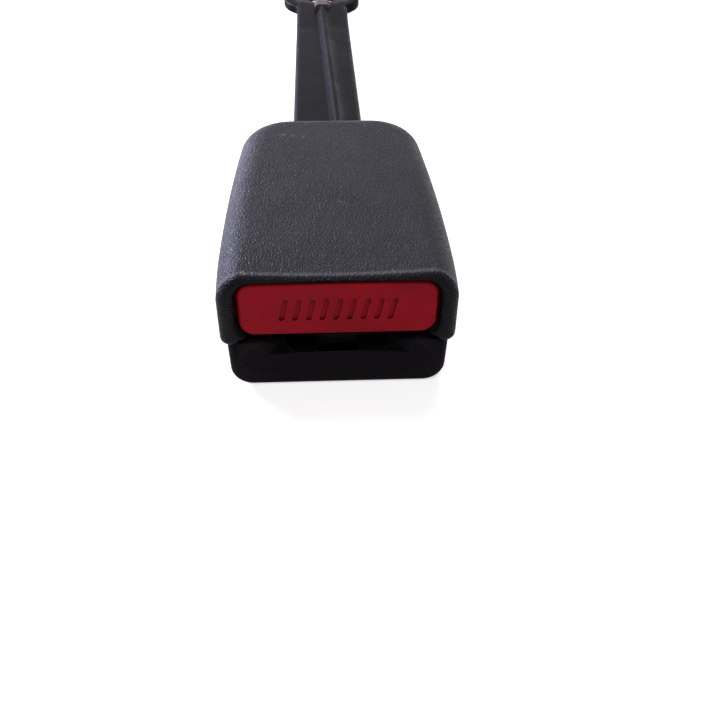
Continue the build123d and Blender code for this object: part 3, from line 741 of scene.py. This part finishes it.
@dataclass(frozen=True)
class DustyRubber(Finish):
    """Soft rubber with pale dust worked into it.

    Attributes:
        dust: Colour of the dust.
        relief: Height of its surface texture in metres.
    """

    dust: Colour = (0.36, 0.33, 0.3)
    relief: float = 0.00003

    def dress(self, graph: Surface) -> None:
        """Dust in patches over a fine soft texture.

        Args:
            graph: Graph of the material.
        """
        tone = Mottle().use(graph, Size=0.004)["Value"]
        graph.give("Base Color", graph.coat(self.colour, self.dust, tone, 0.8))
        self.roughen(graph, tone, 0.08, 0.08)
        graph.bump(graph.noise(graph.where, 2600.0, 4.0, 0.7), self.relief)


@dataclass
class Coil:
    """Round wire compression spring with closed ends, in millimetres.

    Attributes:
        node: CAD node it stands for.
        start: First end of its axis, as X, depth and Z.
        end: Other end of its axis, the same way.
        radius: Radius of the wire's middle line.
        wire: Thickness of the wire.
        turns: Number of open turns.
        joint: Joint that would shorten it; not used.
        travel: How much shorter it would get; not used.
        sides: Corners of the wire's round section.
        steps: Points along one turn.
    """

    node: str
    start: tuple[float, float, float]
    end: tuple[float, float, float]
    radius: float
    wire: float
    turns: int
    joint: str
    travel: float
    sides: int = 10
    steps: int = 22

    def axis(self) -> tuple[Vector, Vector, float]:
        """Foot of the axis, its direction and its length in metres."""
        foot, tip = place(*self.start), place(*self.end)
        return foot, (tip - foot).normalized(), (tip - foot).length

    def line(self) -> list[Vector]:
        """Middle line of the wire, with one closed turn at each end.

        Returns:
            Points in metres.
        """
        foot, axis, length = self.axis()
        across = axis.orthogonal().normalized()
        beside = axis.cross(across)
        wire, radius = self.wire * MM, self.radius * MM
        total = self.turns + 2
        points = []
        for i in range(total * self.steps + 1):
            turn = i / self.steps
            closed_low = min(turn, 1.0) * wire
            closed_high = max(0.0, turn - total + 1.0) * wire
            opened = min(max(turn - 1.0, 0.0), self.turns) / self.turns
            along = wire / 2 + closed_low + closed_high + opened * (length - 3 * wire)
            angle = 2.0 * math.pi * turn
            around = across * math.cos(angle) + beside * math.sin(angle)
            points.append(foot + axis * along + around * radius)
        return points

    def build(self) -> bpy.types.Object:
        """Make the wire's mesh and put it in the CAD spring's place.

        Returns:
            The spring object.
        """
        foot, axis, length = self.axis()
        points = self.line()
        mesh = bmesh.new()
        rings = []
        for i, point in enumerate(points):
            ahead = (points[min(i + 1, len(points) - 1)] - points[max(i - 1, 0)]).normalized()
            outward = point - foot
            outward = (outward - axis * outward.dot(axis)).normalized()
            outward = (outward - ahead * outward.dot(ahead)).normalized()
            side = ahead.cross(outward)
            ring = []
            for k in range(self.sides):
                angle = 2.0 * math.pi * k / self.sides
                offset = (outward * math.cos(angle) + side * math.sin(angle)) * self.wire * MM / 2
                ring.append(mesh.verts.new(point + offset))
            rings.append(ring)
        for low, high in zip(rings, rings[1:]):
            band(mesh, low, high)
        mesh.faces.new(tuple(reversed(rings[0])))
        mesh.faces.new(tuple(rings[-1]))
        for face in mesh.faces:
            face.smooth = len(face.verts) == 4
        bmesh.ops.recalc_face_normals(mesh, faces=mesh.faces)
        spring = formed(self.node + "_wire", mesh)
        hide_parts(self.node)
        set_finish(spring, Slot.SPRING.value)
        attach(spring, "root")
        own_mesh(spring)
        log.info("spring %s, %d turns", self.node, self.turns)
        return spring


@dataclass
class Carving(ABC):
    """Copy of a CAD piece with extra hollows cut into it, sized in millimetres.

    Attributes:
        node: CAD node it stands for.
        title: Name of the piece.
        body: Body it rides on.
        slot: Material slot it takes.
        soft: Width of the rounding on sharp edges.
        crease: Angle in degrees from which an edge counts as sharp.
        arc: Steps of a rounded edge.
        corner: Steps of a rounded corner.
        clear: How far the cut shapes reach past the surface.
        lap: How far a rounding overlaps the wall it runs into.
    """

    node: str
    title: str
    body: str
    slot: Slot
    soft: float = 0.12
    crease: float = 50.0
    arc: int = 6
    corner: int = 7
    clear: float = 0.6
    lap: float = 0.02

    @abstractmethod
    def hollow(self, mesh: Mesh) -> None:
        """Add the closed shapes that are cut away."""

    def prism(self, mesh: Mesh, outline: Outline, front: float, rear: float) -> None:
        """Add an upright outline drawn out along the depth.

        Args:
            mesh: Mesh that collects the shapes.
            outline: X and Z of its corners in millimetres.
            front: Depth of its front end in millimetres.
            rear: Depth of its rear end in millimetres.
        """
        near = [mesh.verts.new(place(x, front, z)) for x, z in outline]
        far = [mesh.verts.new(place(x, rear, z)) for x, z in outline]
        band(mesh, near, far)
        mesh.faces.new(tuple(near))
        mesh.faces.new(tuple(reversed(far)))

    def sweep(self, mesh: Mesh, window: Window, profile: Outline) -> None:
        """Add a closed ring whose section runs round a rounded window.

        Args:
            mesh: Mesh that collects the shapes.
            window: Half width, lowest and highest level and corner radius, in millimetres.
            profile: Depth and outward offset of the section's corners, in millimetres.
        """
        half, low, high, radius = window
        corners = (
            (0, half - radius, high - radius),
            (90, radius - half, high - radius),
            (180, radius - half, low + radius),
            (270, half - radius, low + radius),
        )
        rings = []
        for depth, grow in profile:
            ring = []
            for start, across, level in corners:
                for i in range(self.corner + 1):
                    angle = math.radians(start + 90 * i / self.corner)
                    x = across + math.cos(angle) * (radius + grow)
                    z = level + math.sin(angle) * (radius + grow)
                    ring.append(mesh.verts.new(place(x, depth, z)))
            rings.append(ring)
        for here, after in zip(rings, rings[1:] + rings[:1]):
            band(mesh, here, after)

    def cutter(self) -> bpy.types.Object:
        """Gather the shapes that are cut away.

        Returns:
            The object that the cut uses.
        """
        mesh = bmesh.new()
        self.hollow(mesh)
        bmesh.ops.recalc_face_normals(mesh, faces=mesh.faces)
        return formed(self.title + "_hollow", mesh)

    def build(self, source: bpy.types.Object) -> bpy.types.Object:
        """Copy the piece, cut the hollows and soften their edges.

        Args:
            source: CAD node of the piece.

        Returns:
            The dressed piece.
        """
        tool = self.cutter()
        piece = linked(self.title, source.data.copy())
        welded = bmesh.new()
        welded.from_mesh(piece.data)
        bmesh.ops.remove_doubles(welded, verts=welded.verts, dist=1e-7)
        welded.to_mesh(piece.data)
        welded.free()
        cut = piece.modifiers.new("hollows", "BOOLEAN")
        cut.object = tool
        cut.operation = "DIFFERENCE"
        cut.solver = "EXACT"
        cut.use_self = True
        bpy.context.view_layer.update()
        depsgraph = bpy.context.evaluated_depsgraph_get()
        result = bpy.data.meshes.new_from_object(piece.evaluated_get(depsgraph))
        piece.modifiers.clear()
        piece.data = result
        bpy.data.objects.remove(tool)
        result.shade_smooth()
        result.set_sharp_from_angle(angle=math.radians(self.crease - 10.0))
        if self.soft:
            soften = piece.modifiers.new("soft edges", "BEVEL")
            soften.width = self.soft * MM
            soften.segments = 2
            soften.angle_limit = math.radians(self.crease)
        even = piece.modifiers.new("even faces", "WEIGHTED_NORMAL")
        even.keep_sharp = True
        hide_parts(self.node)
        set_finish(piece, self.slot.value)
        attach(piece, self.body)
        log.info("%s, %d faces", self.title, len(piece.data.polygons))
        return piece


@dataclass
class PressButton(Carving):
    """Release button with plain grip grooves in its face, sized in millimetres.

    Attributes:
        recess: Depth of its face behind the front.
        centre: Height of the grooves' middle.
        count: Number of grooves.
        pitch: Distance from groove to groove.
        height: Length of one groove.
        width: Width of one groove.
        depth: Depth of the grooves.
        lean: Sideways lean of each groove.
        face: Half width, lowest and highest level and corner radius of its face.
        edge: Radius of the face's rounded edge.
        trim: How far back and how far out the sides are trimmed to that outline.
        bow: Steps of each round end of a groove.
    """

    recess: float = 1.0
    centre: float = 20.05
    count: int = 9
    pitch: float = 2.7
    height: float = 5.2
    width: float = 1.15
    depth: float = 0.6
    lean: float = 1.1
    face: Window = (19.75, 13.8, 26.3, 3.1)
    edge: float = 0.9
    trim: tuple[float, float] = (3.0, 0.9)
    bow: int = 8

    def groove(self, mesh: Mesh, x: float) -> None:
        """Add one slanted round-ended groove.

        Args:
            mesh: Mesh that collects the shapes.
            x: Sideways place of the groove in millimetres.
        """
        half = (self.height - self.width) / 2
        outline = []
        for end in (1, -1):
            for i in range(self.bow + 1):
                angle = math.pi * i / self.bow
                across = math.cos(angle) * self.width / 2 * end
                up = (math.sin(angle) * self.width / 2 + half) * end
                outline.append((x + across + self.lean * up / self.height, self.centre + up))
        self.prism(mesh, outline, self.recess - self.clear, self.recess + self.depth)

    def hollow(self, mesh: Mesh) -> None:
        """Add all grooves, and the ring that rounds the edge of the face.

        Args:
            mesh: Mesh that collects the shapes.
        """
        back, out = self.trim
        profile = [(self.recess - self.clear, out), (self.recess - self.clear, -self.edge)]
        for i in range(self.arc + 1):
            angle = math.pi / 2 * i / self.arc
            depth = self.recess + self.edge * (1 - math.cos(angle))
            profile.append((depth, self.edge * (math.sin(angle) - 1) + self.lap * i / self.arc))
        profile += [(self.recess + back, self.lap), (self.recess + back, out)]
        self.sweep(mesh, self.face, profile)
        for i in range(self.count):
            self.groove(mesh, (i - (self.count - 1) / 2) * self.pitch)


@dataclass
class CoverShell(Carving):
    """Upper cover with a rounded lip and feet that taper off under the button, in millimetres.

    Attributes:
        inner: Half width at which the cut under a foot ends.
        outer: Half width at which it starts.
        seam: Height of the seam.
        taper: Corners of the foot's rounded end, as distances in from outer and up from the seam.
        reach: Depth to which the cut goes.
        opening: Half width, lowest and highest level and corner radius of the opening.
        lip: Radius of the rounded lip.
        inside: How far the flare's section reaches into the opening.
    """

    inner: float = 16.0
    outer: float = 22.8
    seam: float = 11.5
    taper: tuple[tuple[float, float], ...] = ((0.0, -0.6), (0.0, 0.25), (1.6, 0.75), (2.9, 2.1))
    reach: float = 9.0
    opening: Window = (20.45, 13.15, 26.85, 3.65)
    lip: float = 1.0
    inside: float = 2.5

    def hollow(self, mesh: Mesh) -> None:
        """Add the flare that rounds the lip, and one wedge under each lower corner of the button.

        Args:
            mesh: Mesh that collects the shapes.
        """
        profile = [(-self.clear, self.lip + self.clear)]
        for i in range(self.arc + 1):
            angle = math.pi / 2 * i / self.arc
            grow = self.lip * (1 - math.sin(angle)) - self.lap
            profile.append((self.lip * (1 - math.cos(angle)), grow))
        profile += [(self.lip, -self.inside), (-self.clear, -self.inside)]
        self.sweep(mesh, self.opening, profile)
        for side in (-1, 1):
            outline = [(side * (self.outer - inward), self.seam + up) for inward, up in self.taper]
            outline.insert(0, (side * self.inner, self.seam + self.taper[0][1]))
            outline.append((side * self.inner, self.seam + self.taper[-1][1]))
            self.prism(mesh, outline, -1.0, self.reach)


@dataclass
class TrayShell(Carving):
    """Lower cover with a smooth dish in its chin, sized in millimetres.

    Attributes:
        centre: Depth and height of the dish's middle.
        half: Half width, half depth and half height of the dish.
        full: How full its ends are: 1 for a ball, less for fuller ends.
        rows: Steps along its width.
        columns: Steps round it.
    """

    centre: tuple[float, float] = (-1.8, 7.4)
    half: tuple[float, float, float] = (20.6, 6.2, 6.2)
    full: float = 0.5
    rows: int = 28
    columns: int = 40

    def hollow(self, mesh: Mesh) -> None:
        """Add the dish as rings about the X axis, fuller than a ball at its ends.

        Args:
            mesh: Mesh that collects the shapes.
        """
        depth, height = self.centre
        wide, deep, tall = self.half
        rings = []
        for i in range(1, self.rows):
            angle = math.pi * i / self.rows
            swell = math.sin(angle) ** self.full
            ring = []
            for k in range(self.columns):
                turn = 2 * math.pi * k / self.columns
                y = depth + math.cos(turn) * swell * deep
                z = height + math.sin(turn) * swell * tall
                ring.append(mesh.verts.new(place(-math.cos(angle) * wide, y, z)))
            rings.append(ring)
        for low, high in zip(rings, rings[1:]):
            band(mesh, low, high)
        for ring, x in ((rings[0], -wide), (rings[-1], wide)):
            tip = mesh.verts.new(place(x, depth, height))
            for corner, after in zip(ring, ring[1:] + ring[:1]):
                mesh.faces.new((corner, after, tip))


@dataclass
class Wardrobe:
    """All finishes of the buckle, and the pieces they go on.

    Attributes:
        finishes: One finish for each material slot.
    """

    finishes: tuple[Finish, ...]

    @classmethod
    def of_photo(cls) -> "Wardrobe":
        """Finishes as the photograph shows them.

        Returns:
            The filled wardrobe.
        """
        dirt = (
            (place(-18.4, 2.9, 28.2), 0.0009),
            (place(-17.9, 2.1, 28.1), 0.0007),
            (place(-23.0, 26.0, 23.5), 0.0009),
        )
        chips = (
            (place(-11.6, 60.8, 28.3), 0.001),
            (place(-9.2, 60.2, 28.3), 0.0007),
            (place(-6.8, 59.4, 28.4), 0.0006),
            (place(1.4, 28.6, 28.4), 0.0005),
            (place(10.8, 12.0, 28.2), 0.0005),
            (place(-9.6, 7.5, 28.1), 0.0005),
            (place(6.2, 68.0, 28.3), 0.0008),
        )
        rust = ((place(10.8, 229.0, 3.5), 0.0032), (place(-12.5, 232.0, 3.5), 0.0016))
        finishes = (
            GrainedPlastic(Slot.COVER, (0.0155, 0.015, 0.018), 0.37, 0.06, dirt=dirt, chips=chips),
            MouldedPlastic(Slot.TRAY, (0.007, 0.006, 0.007), 0.55, 0.04, worn=(0.02, 0.02, 0.021)),
            MouldedPlastic(
                Slot.BUTTON, (0.37, 0.009, 0.018), 0.5, 0.07,
                worn=(0.42, 0.05, 0.06), dusty=0.02, shaded=0.85,
            ),
            SheetSteel(Slot.FRAME, (0.045, 0.044, 0.043), 0.48, 0.2, (0.02, 0.017, 0.014), metal=0.25),
            SheetSteel(Slot.LATCH, (0.07, 0.07, 0.07), 0.4, metal=0.6),
            SheetSteel(Slot.PIN, (0.55, 0.55, 0.54), 0.28, stained=0.1),
            SheetSteel(Slot.SPRING, (0.45, 0.45, 0.46), 0.3, stained=0.12),
            MouldedPlastic(Slot.SLIDER, (0.05, 0.045, 0.045), 0.5, 0.3),
            MouldedPlastic(Slot.GUIDE, (0.03, 0.028, 0.028), 0.5, 0.3),
            SheetSteel(Slot.STRAP, (0.018, 0.017, 0.016), 0.55, 0.1, (0.03, 0.021, 0.017), 0.4, 0.1),
            MouldedPlastic(
                Slot.SHEATH, (0.0075, 0.007, 0.0085), 0.42, 0.015,
                worn=(0.07, 0.07, 0.075), rubbed=0.05, dusty=0.04, dirt=rust,
            ),
            MouldedPlastic(Slot.SWITCH, (0.55, 0.54, 0.5), 0.45, 0.4, worn=(0.7, 0.68, 0.62)),
            SheetSteel(Slot.MAGNET, (0.14, 0.14, 0.15), 0.45, metal=0.7),
            DustyRubber(Slot.LEAD, (0.02, 0.02, 0.02), 0.6, 0.3),
            DustyRubber(Slot.GROMMET, (0.065, 0.055, 0.05), 0.75, 0.1, dust=(0.16, 0.135, 0.115)),
            SheetSteel(Slot.SCREW, (0.05, 0.05, 0.052), 0.42, metal=0.8, stained=0.15),
        )
        return cls(finishes)

    def dress(self, frame: dict, extras: list[bpy.types.Object]) -> None:
        """Give every CAD node and every new piece its material.

        Args:
            frame: Loaded frame.
            extras: Pieces made by this script, each with its slot set.
        """
        materials = {finish.slot.value: finish.build() for finish in self.finishes}
        slots = {row["node"]: row["material_slot"] for row in frame["record"]["subparts"]}
        for name, node in frame["nodes"].items():
            node.data.materials.clear()
            node.data.materials.append(materials[slots[name]])
            log.info("node %s in %s", name, slots[name])
        for piece in extras:
            piece.data.materials.clear()
            piece.data.materials.append(materials[piece["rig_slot"]])


@dataclass
class Lamp:
    """One soft rectangular light aimed at a point.

    Attributes:
        name: Its name.
        spot: Where it stands, in metres.
        aim: What it points at, in metres.
        size: Width and height in metres.
        power: Power in watts.
        tint: Colour of its light.
        glossy: Whether glossy surfaces mirror it.
    """

    name: str
    spot: tuple[float, float, float]
    aim: tuple[float, float, float]
    size: tuple[float, float]
    power: float
    tint: Colour = WHITE
    glossy: bool = True

    def build(self) -> bpy.types.Object:
        """Add the light.

        Returns:
            The light object.
        """
        data = bpy.data.lights.new(self.name, "AREA")
        data.shape = "RECTANGLE"
        data.size, data.size_y = self.size
        data.energy = self.power
        data.color = self.tint
        lamp = linked(self.name, data)
        lamp.location = self.spot
        lamp.visible_glossy = self.glossy
        towards = Vector(self.aim) - Vector(self.spot)
        lamp.rotation_euler = towards.to_track_quat("-Z", "Y").to_euler()
        log.info("light %s, %.1f W", self.name, self.power)
        return lamp


@dataclass
class Studio:
    """Pale floor that runs up into a backdrop, the room's light and the lamps.

    Attributes:
        half: Half the floor's width in metres.
        front: Floor's front edge in metres.
        bend: Where the backdrop starts to rise, in metres.
        radius: Radius of that bend in metres.
        top: Height of the backdrop in metres.
        steps: Steps of the floor's length, and of the bend.
        columns: Steps of its width.
        ambient: Strength of the room's light.
        lamps: Lights of the studio.
    """

    half: float = 1.4
    front: float = -1.3
    bend: float = 0.7
    radius: float = 0.35
    top: float = 1.2
    steps: int = 12
    columns: int = 8
    ambient: float = 0.2
    lamps: tuple[Lamp, ...] = (
        Lamp("window", (-0.56, 0.36, 0.24), (0.0, -0.2, 0.02), (0.3, 0.3), 16.0, (0.72, 0.7, 1.0)),
        Lamp("overhead", (0.0, 0.15, 0.8), (0.0, -0.2, 0.02), (0.6, 0.3), 2.9),
        Lamp("rear", (0.0, 0.5, 0.62), (0.0, -0.2, 0.02), (0.8, 0.45), 3.1, (0.86, 0.86, 1.0)),
        Lamp("fill", (0.08, -0.65, 0.8), (0.0, -0.24, 0.02), (0.5, 0.3), 2.6, glossy=False),
    )

    def backdrop(self) -> bpy.types.Object:
        """Make the floor and backdrop as one curved sheet.

        Returns:
            The sheet object.
        """
        floor = self.bend - self.front
        line = [(self.front + floor * i / self.steps, 0.0) for i in range(self.steps + 1)]
        for i in range(1, self.steps + 1):
            angle = math.pi / 2 * i / self.steps
            line.append((self.bend + self.radius * math.sin(angle), self.radius * (1 - math.cos(angle))))
        line.append((self.bend + self.radius, self.top))
        mesh = bmesh.new()
        columns = []
        for k in range(self.columns + 1):
            x = self.half * (2 * k / self.columns - 1)
            columns.append([mesh.verts.new((x, y, z)) for y, z in line])
        for left, right in zip(columns, columns[1:]):
            for i in range(len(line) - 1):
                mesh.faces.new((left[i], right[i], right[i + 1], left[i + 1])).smooth = True
        sheet = formed("backdrop", mesh)
        sheet.data.materials.append(self.paper())
        return sheet

    def paper(self) -> bpy.types.Material:
        """Pale paper that shows as white and still takes a shadow.

        Returns:
            The material.
        """
        graph = Surface("backdrop_paper")
        fibre = graph.noise(graph.where, 60.0, 4.0, 0.6)
        graph.give("Roughness", 0.9)
        graph.give("Specular IOR Level", 0.1)
        graph.give("Emission Color", (*WHITE, 1.0))
        seen = self.seen(graph)
        pale = graph.blend(fibre, (0.78, 0.78, 0.78), (0.81, 0.81, 0.81))
        graph.give("Base Color", graph.blend(seen, (0.42, 0.42, 0.42), pale))
        graph.give("Emission Strength", graph.times(seen, 0.6))
        return graph.material

    def seen(self, graph: Graph) -> Socket:
        """One for rays that show the background: from the camera, off gloss or through glass.

        Args:
            graph: Graph the nodes go into.

        Returns:
            The mask's socket.
        """
        path = graph.add("ShaderNodeLightPath")
        shown = graph.math("ADD", path.outputs["Is Camera Ray"], path.outputs["Is Glossy Ray"])
        return graph.math("MINIMUM", graph.math("ADD", shown, path.outputs["Is Transmission Ray"]), 1.0)

    def build(self) -> None:
        """Set up the floor, the room's light and the lamps."""
        self.backdrop()
        world = bpy.data.worlds.new("room")
        world.use_nodes = True
        graph = Graph(world.node_tree)
        background = world.node_tree.nodes["Background"]
        background.inputs["Color"].default_value = (*WHITE, 1.0)
        strength = graph.span(self.seen(graph), 0.0, 1.0, self.ambient, 1.0)
        graph.feed(background.inputs["Strength"], strength)
        bpy.context.scene.world = world
        for lamp in self.lamps:
            lamp.build()
        bpy.context.scene.view_settings.view_transform = "Standard"


@dataclass
class Viewpoint:
    """Camera of the photograph, found from the outline of the part, in millimetres and degrees.

    Attributes:
        x: Sideways place.
        depth: Place behind the front face, negative in front of it.
        z: Height above the table.
        yaw: Turn to the right.
        pitch: Tilt downwards.
        roll: Tilt of the horizon.
        lens: Focal length in millimetres on a 36 mm sensor.
    """

    x: float
    depth: float
    z: float
    yaw: float
    pitch: float
    roll: float
    lens: float

    def build(self) -> bpy.types.Object:
        """Add the camera and make it the scene's own.

        Returns:
            The camera object.
        """
        data = bpy.data.cameras.new("photo_camera")
        data.sensor_width = SENSOR
        data.lens = self.lens
        data.clip_start = 0.01
        camera = linked("photo_camera", data)
        yaw = math.radians(self.yaw)
        pitch = math.radians(self.pitch)
        level = math.cos(pitch)
        forward = Vector((math.sin(yaw) * level, math.cos(yaw) * level, -math.sin(pitch)))
        right = Vector((math.cos(yaw), -math.sin(yaw), 0.0))
        up = right.cross(forward)
        turn = math.radians(self.roll)
        across = right * math.cos(turn) + up * math.sin(turn)
        upward = up * math.cos(turn) - right * math.sin(turn)
        axes = Matrix((across, upward, -forward)).transposed().to_4x4()
        camera.matrix_world = Matrix.Translation(place(self.x, self.depth, self.z)) @ axes
        bpy.context.scene.camera = camera
        log.info("camera at %s", tuple(round(v, 4) for v in camera.location))
        return camera


SPRINGS = (
    Coil("button_spring_left", (-7.5, 3.4, 21.3), (-7.5, 26.5, 21.3), 1.6, 0.6, 8, "button_press", 6.0),
    Coil("button_spring_right", (7.5, 3.4, 21.3), (7.5, 26.5, 21.3), 1.6, 0.6, 8, "button_press", 6.0),
    Coil("latch_spring", (0.0, 36.0, 14.2), (0.0, 36.0, 20.0), 2.7, 0.5, 3, "latch_lift", 3.05),
    Coil("ejector_spring", (0.0, 34.0, 8.5), (0.0, 54.0, 8.5), 1.45, 0.45, 11, "ejector_slide", 9.0),
)

CARVINGS = (
    PressButton("release_button", "press_button", "button", Slot.BUTTON),
    CoverShell("upper_cover", "cover_shell", "root", Slot.COVER, soft=0.0, crease=40.0),
    TrayShell("lower_cover", "tray_shell", "root", Slot.TRAY, soft=0.0, crease=40.0),
)


VIEWPOINT = Viewpoint(x=-3.33, depth=-130.2, z=119.62, yaw=3.39, pitch=40.64, roll=0.83, lens=41.81)


def main() -> None:
    """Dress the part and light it."""
    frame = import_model()
    pieces = [spring.build() for spring in SPRINGS]
    pieces.extend(carving.build(frame["nodes"][carving.node]) for carving in CARVINGS)
    Wardrobe.of_photo().dress(frame, pieces)
    Studio().build()
    VIEWPOINT.build()


if __name__ == "__main__":
    logging.basicConfig(level=logging.INFO)
    main()
